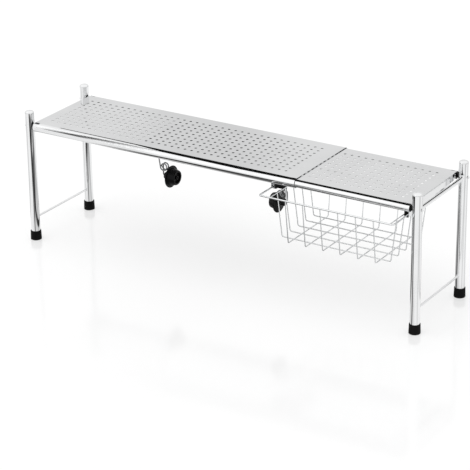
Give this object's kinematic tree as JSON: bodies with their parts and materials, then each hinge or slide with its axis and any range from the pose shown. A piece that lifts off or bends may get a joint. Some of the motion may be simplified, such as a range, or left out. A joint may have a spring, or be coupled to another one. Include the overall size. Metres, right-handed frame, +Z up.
{
  "type": "over sink shelf",
  "caption": "Extending perforated metal shelf on post frames that stands over a kitchen sink, with a slide-out wire basket and a paper roll holder hung below.",
  "frame": {"origin": "on the floor, under the middle of the bounding box with the basket drawn out as in the picture", "axes": "+X along the shelf towards the basket end, +Y towards the wall behind the sink, +Z up"},
  "size_m": [0.924, 0.2475, 0.288],
  "materials": {
    "chrome_tube": "mirror bright chrome plate",
    "polished_sheet": "polished steel sheet",
    "bright_wire": "bright plated wire",
    "rubber": "matt moulded rubber",
    "black_plastic": "satin moulded plastic"
  },
  "bodies": {
    "main_half": {"main_panel": "polished_sheet", "left_lower_rod": "chrome_tube", "left_upper_bar": "chrome_tube", "left_front_post": "chrome_tube", "left_front_cap": "chrome_tube", "left_front_foot": "rubber", "left_front_screw": "chrome_tube", "left_front_plug": "black_plastic", "left_back_post": "chrome_tube", "left_back_cap": "chrome_tube", "left_back_foot": "rubber", "left_back_screw": "chrome_tube", "left_back_plug": "black_plastic"},
    "sliding_half": {"sliding_panel": "polished_sheet", "right_lower_rod": "chrome_tube", "right_upper_bar": "chrome_tube", "basket_channel_left": "polished_sheet", "basket_channel_right": "polished_sheet", "basket_guide_left": "black_plastic", "basket_guide_right": "black_plastic", "holder_leg_left": "bright_wire", "holder_arm_right": "bright_wire", "right_front_post": "chrome_tube", "right_front_cap": "chrome_tube", "right_front_foot": "rubber", "right_front_screw": "chrome_tube", "right_front_plug": "black_plastic", "right_back_post": "chrome_tube", "right_back_cap": "chrome_tube", "right_back_foot": "rubber", "right_back_screw": "chrome_tube", "right_back_plug": "black_plastic"},
    "basket": {"basket_rim": "bright_wire", "basket_rail_left": "bright_wire", "basket_rail_right": "bright_wire", "basket_long_wire_1": "bright_wire", "basket_long_wire_2": "bright_wire", "basket_long_wire_3": "bright_wire", "basket_long_wire_4": "bright_wire", "basket_long_wire_5": "bright_wire", "basket_long_wire_6": "bright_wire", "basket_cross_wire_1": "bright_wire", "basket_cross_wire_2": "bright_wire", "basket_cross_wire_3": "bright_wire", "basket_cross_wire_4": "bright_wire", "basket_cross_wire_5": "bright_wire"},
    "holder_arm": {"holder_arm_left": "bright_wire"},
    "hub_left": {"roll_hub_left": "black_plastic"},
    "hub_right": {"roll_hub_right": "black_plastic"}
  },
  "joints": [
    {"name": "shelf_extend", "type": "slide", "parent": "main_half", "child": "sliding_half", "axis": [1, 0, 0], "range_m": [-0.225, 0.235]},
    {"name": "basket_slide", "type": "slide", "parent": "sliding_half", "child": "basket", "axis": [0, 1, 0], "range_m": [-0.06, 0.042]},
    {"name": "holder_arm_swing", "type": "hinge", "parent": "sliding_half", "child": "holder_arm", "pos_m": [-0.151, -0.02235, 0.204], "axis": [0, 1, 0], "range_deg": [0, 30], "stiffness_Nm_per_rad": 0.15, "springref_deg": -17.19},
    {"name": "left_hub_spin", "type": "hinge", "parent": "holder_arm", "child": "hub_left", "pos_m": [-0.14, -0.02235, 0.183], "axis": [1, 0, 0], "continuous": true},
    {"name": "right_hub_spin", "type": "hinge", "parent": "sliding_half", "child": "hub_right", "pos_m": [0.12, -0.02545, 0.183], "axis": [1, 0, 0], "continuous": true}
  ]
}
